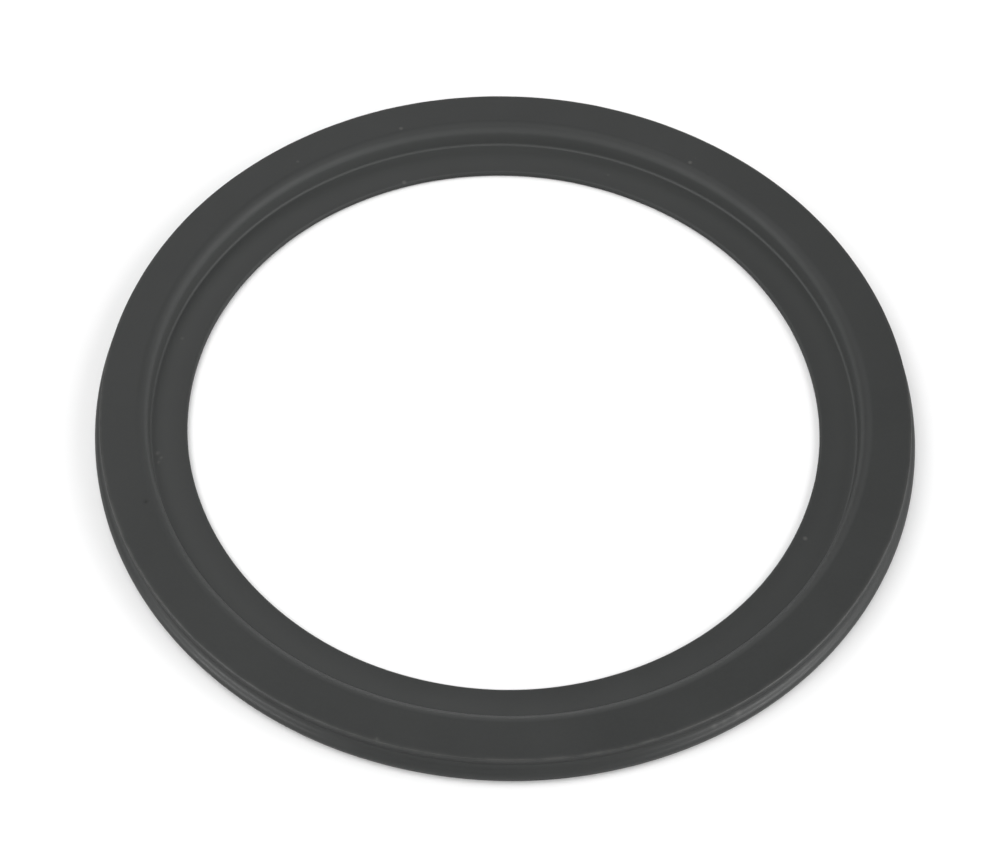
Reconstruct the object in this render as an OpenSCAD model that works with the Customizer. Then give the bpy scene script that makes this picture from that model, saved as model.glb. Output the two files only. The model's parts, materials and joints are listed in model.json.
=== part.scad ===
// Flush valve seal: a one-piece moulded rubber ring.
// A thin inner flange fits the groove of the valve body.
// A thicker outer band stands up from the flange, with a crisp lip, a cove
// below the lip and a rounded bead at the foot.
// Millimetres, +Z up, origin at the centre of the flat underside.

/* [Ring] */
// Diameter of the hole through the flange
hole_d = 71; // [66:0.5:74]
// Largest diameter of the ring, across the bead
outer_d = 91.9; // [91:0.1:94]
// Height of the whole ring
ring_h = 3.8; // [3.7:0.1:4.2]

/* [Inner flange] */
// Thickness of the thin inner flange
flange_t = 0.8; // [0.8:0.1:1.2]
// Rounding of the two edges of the hole
rim_edge_r = 0.25; // [0.1:0.05:0.35]

/* [Raised band] */
// Diameter at which the flat top begins, inside the shoulder
top_d = 82.1; // [81.6:0.1:83.4]
// Radius of the shoulder between the inner wall and the top
shoulder_r = 1.3; // [0.8:0.1:1.6]
// How far the band's inner wall leans outwards from upright, in degrees
wall_lean = 2; // [1:1:15]
// Radius of the hollow between the flange and the wall
fillet_r = 0.3; // [0.2:0.1:0.6]
// How far the crisp lip around the top stands in from the bead
lip_inset = 0.75; // [0.7:0.05:0.8]
// How far the lip overhangs the cove under it
lip_overhang = 0.03; // [0.02:0.01:0.04]
// Rounding of the lip's top edge
lip_edge_r = 0.15; // [0.1:0.05:0.2]

/* [Foot bead] */
// Height of the widest line of the bead, and its radius below that line
bead_z = 1.1; // [1.0:0.1:1.4]
// Radius of the bead above its widest line
bead_r = 1.1; // [0.9:0.1:1.2]
// Angle above level at which the bead turns into the cove under the lip
bead_turn = 50; // [50:1:60]

/* [Hidden] */
$fn = 96;
RING_FN = 360;

hole_r = hole_d / 2;
outer_r = outer_d / 2;
lip_r = outer_r - lip_inset;
bead_x = outer_r - bead_r;
foot_x = outer_r - bead_z;
shoulder_x = top_d / 2;
shoulder_z = ring_h - shoulder_r;
// Where the leaning wall touches the shoulder, and where its line reaches the flange.
lean_x = shoulder_x - shoulder_r * cos(wall_lean);
lean_z = shoulder_z + shoulder_r * sin(wall_lean);
wall_x = lean_x - (lean_z - flange_t) * tan(wall_lean);
// The hollow touches the flange below its centre, and the wall at this height.
hollow_z = flange_t + fillet_r;
touch_z = hollow_z - fillet_r * sin(wall_lean);
hollow_x = wall_x + (touch_z - flange_t) * tan(wall_lean) - fillet_r * cos(wall_lean);
// The cove touches the bead at bead_turn, and reaches in under the lip by lip_overhang.
cove_r = (lip_inset + lip_overhang) / (1 - cos(bead_turn)) - bead_r;
cove_x = bead_x + (bead_r + cove_r) * cos(bead_turn);
cove_z = bead_z + (bead_r + cove_r) * sin(bead_turn);
// Round cuts are a little larger than they need be, so that they cross what they touch.
cut_extra = 0.002;

// A rectangle between two opposite corners.
module box2(x0, z0, x1, z1) {
    translate([x0, z0]) square([x1 - x0, z1 - z0]);
}

module disc(x, z, r) {
    translate([x, z]) circle(r = r);
}

// The thin flange, with both edges of its hole rounded.
module flange_section() {
    box2(hole_r + rim_edge_r, 0, shoulder_x, flange_t);
    box2(hole_r, rim_edge_r, shoulder_x, flange_t - rim_edge_r);
    disc(hole_r + rim_edge_r, rim_edge_r, rim_edge_r);
    disc(hole_r + rim_edge_r, flange_t - rim_edge_r, rim_edge_r);
}

// The hollow corner at the foot of the leaning wall.
module fillet_section() {
    difference() {
        box2(hollow_x, 0, shoulder_x, touch_z);
        disc(hollow_x, hollow_z, fillet_r + 2 * cut_extra);
    }
}

// The leaning inner wall of the band, set in a little so that the shoulder crosses it.
module wall_section() {
    foot_lean = flange_t * tan(wall_lean);
    polygon([
        [wall_x - foot_lean + cut_extra, 0],
        [shoulder_x, 0],
        [shoulder_x, lean_z],
        [lean_x + cut_extra, lean_z]
    ]);
}

// The rounded shoulder at the inner edge of the band. It starts a little below its centre,
// where the wall already covers it.
module shoulder_section() {
    intersection() {
        disc(shoulder_x, shoulder_z, shoulder_r);
        box2(shoulder_x - 2 * shoulder_r, shoulder_z - shoulder_r / 10, shoulder_x, ring_h + 1);
    }
}

// The solid middle of the band, out to the lip.
module band_section() {
    box2(shoulder_x, 0, foot_x, bead_z);
    box2(shoulder_x, bead_z, lip_r, ring_h - lip_edge_r);
    box2(shoulder_x, bead_z, lip_r - lip_edge_r, ring_h);
    disc(lip_r - lip_edge_r, ring_h - lip_edge_r, lip_edge_r);
}

// The bead at the foot, above and below its widest line, and the ramp for the cove.
module bead_section() {
    intersection() {
        disc(bead_x, bead_z, bead_r);
        box2(bead_x, bead_z, outer_r + 1, ring_h);
    }
    intersection() {
        disc(foot_x, bead_z, bead_z);
        box2(foot_x, -1, outer_r + 1, bead_z);
    }
    polygon([[bead_x, bead_z], [cove_x, cove_z], [bead_x, cove_z]]);
}

module ring_section() {
    flange_section();
    fillet_section();
    wall_section();
    shoulder_section();
    difference() {
        union() {
            band_section();
            bead_section();
        }
        disc(cove_x, cove_z, cove_r + cut_extra);
    }
}

module seal_ring() {
    color("#3c3e3d") rotate_extrude($fn = RING_FN) ring_section();
}

seal_ring();
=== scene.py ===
"""Looks for the moulded rubber flush valve seal: mesh, rubber material, studio and camera."""

import json
import math

import bpy
import numpy as np
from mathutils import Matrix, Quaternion, Vector


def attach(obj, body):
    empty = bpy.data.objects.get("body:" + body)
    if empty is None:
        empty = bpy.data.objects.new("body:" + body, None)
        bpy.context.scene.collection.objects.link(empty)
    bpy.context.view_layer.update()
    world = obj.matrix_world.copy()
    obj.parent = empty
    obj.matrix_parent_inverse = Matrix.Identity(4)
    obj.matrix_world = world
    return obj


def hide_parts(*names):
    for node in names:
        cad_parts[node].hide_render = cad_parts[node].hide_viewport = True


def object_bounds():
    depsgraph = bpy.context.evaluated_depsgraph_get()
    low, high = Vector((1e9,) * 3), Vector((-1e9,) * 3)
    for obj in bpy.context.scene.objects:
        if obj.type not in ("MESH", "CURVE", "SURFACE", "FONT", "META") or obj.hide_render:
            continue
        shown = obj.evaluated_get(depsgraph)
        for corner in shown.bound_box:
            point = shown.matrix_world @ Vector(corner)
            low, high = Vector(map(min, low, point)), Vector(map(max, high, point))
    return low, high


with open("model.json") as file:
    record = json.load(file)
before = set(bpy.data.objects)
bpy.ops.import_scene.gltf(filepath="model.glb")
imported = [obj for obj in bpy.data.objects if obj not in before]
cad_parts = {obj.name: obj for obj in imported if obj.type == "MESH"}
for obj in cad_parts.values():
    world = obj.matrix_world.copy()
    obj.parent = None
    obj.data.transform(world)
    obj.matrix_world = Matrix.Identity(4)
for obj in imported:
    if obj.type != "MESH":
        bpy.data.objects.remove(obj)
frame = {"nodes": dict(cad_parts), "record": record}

CAD_LOW, CAD_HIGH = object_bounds()
NODE = "seal_ring"
MM = 0.001

# ---------------------------------------------------------------- the section's sizes

# As in the CAD: the shoulder's radius, the inner wall's lean, the radius of the hollow at
# its foot, the bead's radius above its widest line, the angle above level at which the
# bead turns into the cove, and how far the lip overhangs the cove. The other sizes are
# read from the CAD's vertices, which lie this close to where they should.
SHOULDER_R = 1.3 * MM
WALL_LEAN = math.radians(2)
HOLLOW_R = 0.3 * MM
BEAD_R = 1.1 * MM
BEAD_TURN = math.radians(50)
OVERHANG = 0.03 * MM
CLOSE = 0.002 * MM


def read_section():
    """The sizes of the ring's section, read from the CAD node's own vertices: radii and
    heights, in metres."""
    co = np.array([v.co[:] for v in frame["nodes"][NODE].data.vertices])
    r, z = np.hypot(co[:, 0], co[:, 1]), co[:, 2]
    height = z.max()
    hole_r = frame["record"]["mounts"][0]["dims"]["r_mm"] * MM
    top, base = r[z > height - CLOSE], r[z < CLOSE]
    s = {"height": height, "hole_r": hole_r, "outer_r": (CAD_HIGH.x - CAD_LOW.x) / 2}
    s["rim_r"] = base.min() - hole_r
    s["foot_x"] = base.max()
    s["bead_z"] = s["outer_r"] - s["foot_x"]
    s["flange_t"] = z[(r < base.min() + CLOSE) & (z > height / 8)].max()
    s["shoulder_x"] = top.min()
    s["shoulder_z"] = height - SHOULDER_R
    s["lean_x"] = s["shoulder_x"] - SHOULDER_R * math.cos(WALL_LEAN)
    s["lean_z"] = s["shoulder_z"] + SHOULDER_R * math.sin(WALL_LEAN)
    s["wall_r"] = s["lean_x"] - (s["lean_z"] - s["flange_t"]) * math.tan(WALL_LEAN)
    touch = HOLLOW_R * (1 - math.sin(WALL_LEAN)) * math.tan(WALL_LEAN)
    s["fillet_x"] = s["wall_r"] + touch - HOLLOW_R * math.cos(WALL_LEAN)
    s["lip_x"] = top.max()
    s["lip_r"] = r[z > height * 0.92].max()
    return s


S = read_section()


def arc(x, z, radius, start, end, steps):
    """Points on an arc, angles in radians from +X towards +Z, without its first point."""
    turn = [start + (end - start) * (i + 1) / steps for i in range(steps)]
    return [(x + radius * math.cos(a), z + radius * math.sin(a)) for a in turn]


def line(a, b, steps):
    """Points from a to b, without a."""
    return [(a[0] + (b[0] - a[0]) * (i + 1) / steps,
             a[1] + (b[1] - a[1]) * (i + 1) / steps) for i in range(steps)]


def section_points():
    """The closed outline of the section, from the hole's lower edge up and outwards."""
    quarter = math.pi / 2
    h, t, rim = S["height"], S["flange_t"], S["rim_r"]
    lip = S["lip_r"] - S["lip_x"]
    points = [(S["hole_r"], rim)]
    points += line(points[-1], (S["hole_r"], t - rim), 4)
    points += arc(S["hole_r"] + rim, t - rim, rim, math.pi, quarter, 8)
    points += line(points[-1], (S["fillet_x"], t), 18)
    points += arc(S["fillet_x"], t + HOLLOW_R, HOLLOW_R, -quarter, -WALL_LEAN, 10)
    points += line(points[-1], (S["lean_x"], S["lean_z"]), 3)
    points += arc(S["shoulder_x"], S["shoulder_z"], SHOULDER_R, math.pi - WALL_LEAN, quarter, 20)
    points += line(points[-1], (S["lip_x"], h), 18)
    points += arc(S["lip_x"], h - lip, lip, quarter, 0, 8)
    inset = S["outer_r"] - S["lip_r"]
    cove = (inset + OVERHANG) / (1 - math.cos(BEAD_TURN)) - BEAD_R
    bead_x = S["outer_r"] - BEAD_R
    cove_x = bead_x + (BEAD_R + cove) * math.cos(BEAD_TURN)
    cove_z = S["bead_z"] + (BEAD_R + cove) * math.sin(BEAD_TURN)
    meets = math.acos((cove_x - S["lip_r"]) / cove)
    points += line(points[-1], (S["lip_r"], cove_z + cove * math.sin(meets)), 3)
    points += arc(cove_x, cove_z, cove, math.pi - meets, math.pi + BEAD_TURN, 18)[:-1]
    points += arc(bead_x, S["bead_z"], BEAD_R, BEAD_TURN + 0.001, 0, 16)
    points += arc(S["foot_x"], S["bead_z"], S["bead_z"], 0, -quarter, 16)
    points += line(points[-1], (S["hole_r"] + rim, 0), 30)
    points += arc(S["hole_r"] + rim, rim, rim, -quarter, -math.pi, 8)[:-1]
    return points


# ---------------------------------------------------------------- the ring

# Steps round the ring.
AROUND = 1440
# The soft moulding isn't quite true: its band's inner wall and its rim sit a little to
# the side of the hole, as x and y, and both are slightly longer from front to back.
WALL_SHIFT = (0.04 * MM, 0.10 * MM)
WALL_LONG = 0.15 * MM
RIM_SHIFT = (0.20 * MM, -0.12 * MM)
OUT_OF_ROUND = 0.08 * MM
# Its rim is also a little fuller at the front left and the front right.
FRONT_CORNERS = 0.18 * MM
# Its wavy edges: how far the bead's widest line, the rim, the hole and the lip wander.
FLASH_WAVE = 0.012 * MM
RIM_WAVE = 0.03 * MM
HOLE_WAVE = 0.02 * MM
LIP_WAVE = 0.012 * MM

# How far round the lip's edge its paler band reaches, partly rubbed wear and partly a painted
# highlight, and round the bead's widest line.
LIP_REACH = 0.22 * MM
FLASH_REACH = 0.05 * MM
# The painted light on the flange at the hole, what it gains by the wall where the band
# shades the flange, on the wall's shaded band, on the hole's edge and, as a painted
# highlight, on the shoulder at the front.
PAINTED_LIGHT_AT_HOLE, PAINTED_LIGHT_GAIN, PAINTED_LIGHT_ON_WALL = 0.15, 0.8, 0.8
PAINTED_LIGHT_ON_RIM, PAINTED_LIGHT_IN_FRONT = 0.25, 0.4
# Where the painted light on the wall ends inside the start of the flat top, and how softly.
WALL_PAINTED_LIGHT_END, WALL_PAINTED_LIGHT_SOFT = 0.85 * MM, 0.4 * MM


def weights(r, z):
    """Per section point, each from 0 to 1: how far it follows the band's inner wall, how
    near the lip and the bead's widest line it is, how much painted light it holds where
    the band shades the rubber, how matt it is, and whether it is under the bead or on the
    shoulder."""
    top = z > S["flange_t"] + 0.01 * MM
    rise = (r - S["hole_r"]) / (S["fillet_x"] - S["hole_r"])
    fall = (S["lip_x"] - r) / (S["lip_x"] - S["shoulder_x"])
    follow = np.clip(np.where(top, fall, rise), 0, 1) * (z > S["flange_t"] / 2)
    lip = np.exp(-((np.hypot(r - S["lip_r"], z - S["height"]) / LIP_REACH) ** 2))
    flash = np.exp(-(((z - S["bead_z"]) / FLASH_REACH) ** 2)) * (r > S["lip_r"])
    # Painted light: the flange grows lighter towards the wall, where the band shades it, and the
    # wall's shaded band is lightened up to the shoulder.
    wall_end = S["shoulder_x"] - WALL_PAINTED_LIGHT_END
    wall = PAINTED_LIGHT_ON_WALL * np.clip((wall_end - r) / WALL_PAINTED_LIGHT_SOFT, 0, 1)
    flat = PAINTED_LIGHT_AT_HOLE + PAINTED_LIGHT_GAIN * np.clip(rise, 0, 1) ** 1.5
    painted_light = np.where(z < S["flange_t"] + 0.1 * MM, flat, wall)
    painted_light = painted_light * (z > S["flange_t"] / 2) * (r < S["shoulder_x"])
    inside = np.clip((S["shoulder_x"] - r) / (0.4 * MM), 0, 1)
    matt = np.clip((z - S["flange_t"]) / (0.1 * MM), 0, 1) * inside
    shoulder = inside * (z > S["shoulder_z"])
    rim = r < S["hole_r"] + S["rim_r"]
    # The hole's edge gets painted light over its shaded face.
    painted_light, matt = np.where(rim, PAINTED_LIGHT_ON_RIM, painted_light), np.where(rim, 1.0, matt)
    under = np.clip((S["bead_z"] + 0.1 * MM - z) / (0.3 * MM), 0, 1) * (r > S["foot_x"])
    return follow, lip, flash, painted_light, matt, under, shoulder


# Small moulding marks: name; azimuth in degrees; radius, height above the underside,
# spread and rise in mm; paleness, below 0 for painted shade, as in the pit's dent.
MARKS = [
    ("bead_nib_a", 299.9, 45.55, 1.95, 0.28, 0.06, 0.8),
    ("bead_nib_b", 301.4, 45.60, 1.90, 0.24, 0.05, 0.7),
    ("bead_nib_c", 303.6, 45.50, 2.05, 0.36, 0.05, 0.6),
    ("lip_nick", 255.0, 45.10, 3.80, 0.18, -0.05, 0.5),
    ("gate_mark_a", 191.0, 38.95, 0.80, 0.20, 0.04, 0.9),
    ("gate_mark_b", 192.0, 38.60, 0.80, 0.16, 0.04, 0.8),
    ("gate_mark_c", 192.8, 38.95, 0.80, 0.16, 0.04, 0.7),
    ("pit", 202.5, 41.40, 3.80, 0.20, -0.06, -1.0),
]


def marks(angle, r, z):
    """The height and the paleness that the small marks add at every vertex; the pit's paleness
    below 0 is painted shade.
    """
    height, pale = 0 * angle * r, 0 * angle * r
    for _, azimuth, radius, level, spread, rise, tone in MARKS:
        along = (angle - math.radians(azimuth)) * radius * MM
        away = along ** 2 + (r - radius * MM) ** 2 + (z - level * MM) ** 2
        near = np.clip(np.exp(-away / (spread * MM) ** 2) - 0.001, 0, 1)
        height, pale = height + rise * MM * near, pale + tone * near
    return height, pale


def wave(angle, turns, phases):
    """A smooth closed wave round the ring, between -1 and 1."""
    return sum(np.sin(n * angle + p) for n, p in zip(turns, phases)) / len(turns)


def sweep(name, r, z, angle):
    """A closed smooth mesh from radii and heights, one row for each angle."""
    verts = np.stack([r * np.cos(angle), r * np.sin(angle), z], axis=2).reshape(-1, 3)
    n = z.shape[1]
    i, j = np.meshgrid(np.arange(AROUND), np.arange(n), indexing="ij")
    i2, j2 = (i + 1) % AROUND, (j + 1) % n
    faces = np.stack([i * n + j, i * n + j2, i2 * n + j2, i2 * n + j], axis=2).reshape(-1, 4)
    mesh = bpy.data.meshes.new(name)
    mesh.from_pydata(verts.tolist(), [], faces.tolist())
    mesh.shade_smooth()
    return mesh


def build_ring():
    """The ring's mesh, with per vertex values that the rubber's material reads."""
    section = np.array(section_points())
    angle = (np.arange(AROUND) * 2 * math.pi / AROUND)[:, None]
    r, z = section[:, 0][None, :], section[:, 1][None, :]
    follow, lip, flash, painted_light, matt, under, shoulder = weights(r, z)
    outside = np.clip((r - S["shoulder_x"]) / (S["lip_r"] - S["shoulder_x"]), 0, 1)
    r = r + (WALL_SHIFT[0] * np.cos(angle) + WALL_SHIFT[1] * np.sin(angle)) * follow
    r = r + WALL_LONG * np.sin(angle) ** 2 * follow
    r = r + (RIM_SHIFT[0] * np.cos(angle) + RIM_SHIFT[1] * np.sin(angle)) * outside
    r = r - OUT_OF_ROUND * np.cos(2 * angle) * outside
    fuller = np.sin(2 * angle) ** 2 * (1 - np.sin(angle)) / 2
    r = r + FRONT_CORNERS * fuller * outside
    r = r + FLASH_WAVE * flash * (0.7 + 0.3 * wave(angle, (7, 16, 29), (0.4, 2.1, 4.0)))
    r = r + RIM_WAVE * outside * wave(angle, (3, 5, 11), (1.1, 3.0, 5.2))
    r = r + HOLE_WAVE * (1 - outside) * wave(angle, (4, 9, 13), (0.2, 1.7, 2.6))
    z = z + LIP_WAVE * lip * wave(angle, (23, 41, 67), (0.9, 2.8, 4.4)) + 0 * angle
    height, pale = marks(angle, r, z)
    mesh = sweep("rubber_ring", r, z + height, angle)
    # The lip's paler band: rubbed wear, and a painted highlight that brightens its light line.
    wear_and_highlight = np.clip(lip + 0.05 * flash, 0, 1)
    front = (1 - np.sin(angle)) / 2
    # Painted light under the bead's widest line at the front corners, and a painted highlight on
    # the shoulder at the front.
    painted_light = painted_light + under * fuller + PAINTED_LIGHT_IN_FRONT * front ** 2 * shoulder
    matt = matt * (1 - front)
    looks = {"wear_and_highlight_edge": wear_and_highlight, "painted_light": painted_light, "matt_corner": matt, "mark": pale}
    for name, values in looks.items():
        values = values + 0 * angle
        mesh.attributes.new(name, "FLOAT", "POINT").data.foreach_set("value", values.ravel())
    mesh.update()
    ring = bpy.data.objects.new("rubber_ring", mesh)
    bpy.context.scene.collection.objects.link(ring)
    return ring


# ---------------------------------------------------------------- materials


def new_material(name):
    """A material with one Principled shader, its node tree and that shader."""
    material = bpy.data.materials.new(name)
    material.use_nodes = True
    tree = material.node_tree
    tree.nodes.clear()
    output = tree.nodes.new("ShaderNodeOutputMaterial")
    shader = tree.nodes.new("ShaderNodeBsdfPrincipled")
    tree.links.new(shader.outputs["BSDF"], output.inputs["Surface"])
    return material, tree, shader


class Nodes:
    """Short helpers that add and wire shader nodes in one tree."""

    def __init__(self, tree):
        self.tree = tree

    def put(self, value, socket):
        if hasattr(value, "node"):
            self.tree.links.new(value, socket)
        else:
            socket.default_value = value

    def position(self):
        return self.tree.nodes.new("ShaderNodeTexCoord").outputs["Object"]

    def noise(self, scale, detail=2.0, roughness=0.5):
        node = self.tree.nodes.new("ShaderNodeTexNoise")
        self.put(self.position(), node.inputs["Vector"])
        node.inputs["Scale"].default_value = scale
        node.inputs["Detail"].default_value = detail
        node.inputs["Roughness"].default_value = roughness
        return node.outputs["Fac"]

    def cells(self, scale):
        """The distance to the nearest cell's centre, and that cell's own colour."""
        node = self.tree.nodes.new("ShaderNodeTexVoronoi")
        self.put(self.position(), node.inputs["Vector"])
        node.inputs["Scale"].default_value = scale
        return node.outputs["Distance"], node.outputs["Color"]

    def attribute(self, name):
        node = self.tree.nodes.new("ShaderNodeAttribute")
        node.attribute_name = name
        return node.outputs["Fac"]

    def math(self, operation, a, b=0.0, clamp=False):
        node = self.tree.nodes.new("ShaderNodeMath")
        node.operation, node.use_clamp = operation, clamp
        self.put(a, node.inputs[0])
        self.put(b, node.inputs[1])
        return node.outputs[0]

    def band(self, value, low, high, out_low=0.0, out_high=1.0):
        """Map low..high to out_low..out_high, held at both ends."""
        node = self.tree.nodes.new("ShaderNodeMapRange")
        self.put(value, node.inputs["Value"])
        for key, number in (("From Min", low), ("From Max", high),
                            ("To Min", out_low), ("To Max", out_high)):
            node.inputs[key].default_value = number
        return node.outputs["Result"]

    def mix(self, factor, a, b):
        node = self.tree.nodes.new("ShaderNodeMix")
        node.data_type = "RGBA"
        self.put(factor, node.inputs["Factor"])
        self.put(a, node.inputs[6])
        self.put(b, node.inputs[7])
        return node.outputs[2]

    def bump(self, height, distance, strength, normal=None):
        node = self.tree.nodes.new("ShaderNodeBump")
        node.inputs["Distance"].default_value = distance
        node.inputs["Strength"].default_value = strength
        self.put(height, node.inputs["Height"])
        if normal:
            self.put(normal, node.inputs["Normal"])
        return node.outputs["Normal"]


BLACK = (0.0250, 0.0262, 0.0257, 1)
LIGHTER = (0.0296, 0.0310, 0.0304, 1)
# Painted light for rubber that the band and the bead shade, and for a highlight on the front
# shoulder.
PAINTED_LIGHT = (0.0560, 0.0582, 0.0571, 1)
# Pale dust, also used for the lip's paler band, which is partly a painted highlight.
DUST_AND_HIGHLIGHT = (0.11, 0.108, 0.103, 1)
# Painted shade inside the pit's dent.
PIT_SHADE = (0.008, 0.008, 0.008, 1)


def rubber():
    """Matt moulded rubber: cloudy tone, fine grain, painted light where the band and the bead
    shade it and as a highlight on the front shoulder, a lip paler from rubbing and from a
    painted highlight, a little dust, and painted shade in the pit.
    """
    material, tree, shader = new_material("moulded_rubber")
    n = Nodes(tree)
    clouds = n.noise(90, 3.0)
    grain = n.noise(3200, 2.0, 0.6)
    tone = n.math("ADD", n.band(clouds, 0.3, 0.7, 0.0, 0.6), n.band(grain, 0.3, 0.7, 0.0, 0.4))
    colour = n.mix(tone, BLACK, LIGHTER)
    # Painted light: paler where the band and the bead shade the rubber, and a painted highlight
    # on the shoulder at the front.
    colour = n.mix(n.math("MULTIPLY", n.attribute("painted_light"), 0.9), colour, PAINTED_LIGHT)
    reach, pick = n.cells(330)
    chosen = n.math("GREATER_THAN", pick, 0.72)
    speck = n.math("MULTIPLY", n.band(reach, 0.03, 0.11, 1.0, 0.0), chosen)
    speck = n.math("MULTIPLY", speck, 0.6)
    colour = n.mix(speck, colour, DUST_AND_HIGHLIGHT)
    # Paler in patches along the lip: rubbed wear, and a painted highlight on the lip's light
    # line.
    patchy = n.band(n.noise(500, 2.0), 0.35, 0.6, 0.3, 1)
    rubbed_and_highlit = n.math("MULTIPLY", n.attribute("wear_and_highlight_edge"), patchy)
    colour = n.mix(n.math("MULTIPLY", rubbed_and_highlit, 0.25), colour, DUST_AND_HIGHLIGHT)
    colour = n.mix(n.band(n.attribute("mark"), 0, 1, 0, 0.8), colour, DUST_AND_HIGHLIGHT)
    # The pit's dent is painted dark: painted shade.
    colour = n.mix(n.band(n.attribute("mark"), 0, -1, 0, 0.9), colour, PIT_SHADE)
    n.put(colour, shader.inputs["Base Color"])
    rough = n.math("ADD", n.band(n.noise(160, 3.0), 0.3, 0.7, 0.38, 0.46),
                   n.band(grain, 0.3, 0.7, -0.03, 0.03))
    rough = n.math("ADD", rough, n.math("MULTIPLY", n.attribute("matt_corner"), 0.18))
    rough = n.math("ADD", rough, n.math("MULTIPLY", speck, 0.3), clamp=True)
    n.put(rough, shader.inputs["Roughness"])
    relief = n.bump(grain, 0.004 * MM, 1.0)
    relief = n.bump(n.noise(700, 2.0), 0.01 * MM, 0.5, relief)
    n.put(relief, shader.inputs["Normal"])
    shader.inputs["IOR"].default_value = 1.5
    shader.inputs["Specular IOR Level"].default_value = 0.3
    return material


# The floor lies this far under the ring, so that the two never share a plane.
FLOOR_GAP = 0.05 * MM


def paper():
    """Pale paper, dimmer to everything but the camera so that it doesn't glare in the rubber.
    It is clear from below, and to light that has just left the ring's underside, so that
    the underside can be seen and isn't black."""
    material, tree, shader = new_material("pale_floor")
    n = Nodes(tree)
    seen = tree.nodes.new("ShaderNodeLightPath").outputs["Is Camera Ray"]
    n.put(n.mix(seen, (0.60, 0.60, 0.60, 1), (0.95, 0.95, 0.95, 1)), shader.inputs["Base Color"])
    shader.inputs["Roughness"].default_value = 0.9
    shader.inputs["Specular IOR Level"].default_value = 0.1
    clear = tree.nodes.new("ShaderNodeBsdfTransparent")
    sides = tree.nodes.new("ShaderNodeMixShader")
    below = tree.nodes.new("ShaderNodeNewGeometry").outputs["Backfacing"]
    length = tree.nodes.new("ShaderNodeLightPath").outputs["Ray Length"]
    touching = n.math("LESS_THAN", length, 3 * FLOOR_GAP)
    n.put(n.math("MAXIMUM", below, touching), sides.inputs[0])
    n.put(shader.outputs["BSDF"], sides.inputs[1])
    n.put(clear.outputs["BSDF"], sides.inputs[2])
    n.put(sides.outputs[0], tree.nodes["Material Output"].inputs["Surface"])
    return material


# ---------------------------------------------------------------- studio


def area_light(name, azimuth, elevation, distance, size, power):
    """A soft box that faces the ring. Azimuth 0 is behind the camera and 90 to its right,
    in degrees like the elevation; distance and size are in metres, power in watts."""
    a, e = math.radians(azimuth), math.radians(elevation)
    towards = Vector((math.sin(a) * math.cos(e), -math.cos(a) * math.cos(e), math.sin(e)))
    data = bpy.data.lights.new(name, "AREA")
    data.shape = "RECTANGLE"
    data.size, data.size_y = size
    data.energy = power
    light = bpy.data.objects.new(name, data)
    light.location = towards * distance
    light.rotation_mode = "QUATERNION"
    light.rotation_quaternion = towards.to_track_quat("Z", "Y")
    bpy.context.scene.collection.objects.link(light)


def studio():
    """The floor, the soft grey world and the soft boxes."""
    bpy.ops.mesh.primitive_plane_add(size=4, location=(0, 0, -FLOOR_GAP))
    floor = bpy.context.object
    floor.name = "floor"
    floor.data.materials.append(paper())
    world = bpy.data.worlds.new("studio")
    world.use_nodes = True
    world.node_tree.nodes["Background"].inputs["Color"].default_value = (1, 1, 1, 1)
    world.node_tree.nodes["Background"].inputs["Strength"].default_value = 0.24
    bpy.context.scene.world = world
    area_light("softbox_top", -40, 70, 0.6, (0.55, 0.55), 1.2)
    area_light("softbox_right", 82, 31, 0.6, (0.7, 0.6), 3.0)
    area_light("softbox_left", -75, 43, 0.6, (0.6, 0.6), 1.75)
    area_light("softbox_back", 205, 45, 0.9, (1.0, 0.4), 1.3)
    area_light("softbox_front", 0, 32, 0.9, (0.8, 0.4), 0.35)
    area_light("strip_back", 180, 7, 0.9, (1.0, 0.16), 1.1)
    area_light("strip_right", 58, 5, 0.6, (0.4, 0.12), 1.6)
    area_light("strip_left", -58, 6, 0.6, (0.35, 0.12), 1.35)
    bpy.context.scene.view_settings.view_transform = "Standard"
    bpy.context.scene.view_settings.look = "None"


# ---------------------------------------------------------------- camera

ELEVATION = math.radians(54.5)
ROLL = math.radians(2.05)
# The lens, in mm on a sensor 36 mm wide.
LENS = 90.9
SENSOR = 36
# The camera's distance from the middle of the ring, in radii of the hole.
DISTANCE = 8.0
# The point it looks at, beside the hole's centre at the flange's top.
AIM = Vector((-0.43, -0.99, -0.71)) * MM


def camera():
    """The camera in front of the ring, above it, and turned a little about its own axis."""
    data = bpy.data.cameras.new("camera")
    data.lens = LENS
    data.sensor_width = SENSOR
    data.clip_start, data.clip_end = 0.01, 20
    cam = bpy.data.objects.new("camera", data)
    centre = Vector((0, 0, S["flange_t"]))
    back = Vector((0, -math.cos(ELEVATION), math.sin(ELEVATION)))
    cam.location = centre + back * DISTANCE * S["hole_r"]
    cam.rotation_mode = "QUATERNION"
    look = (centre + AIM - cam.location).to_track_quat("-Z", "Y")
    cam.rotation_quaternion = look @ Quaternion((0, 0, 1), ROLL)
    bpy.context.scene.collection.objects.link(cam)
    bpy.context.scene.camera = cam


# ---------------------------------------------------------------- build

ring = build_ring()
ring.data.materials.append(rubber())
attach(ring, "root")
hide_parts(NODE)
studio()
camera()
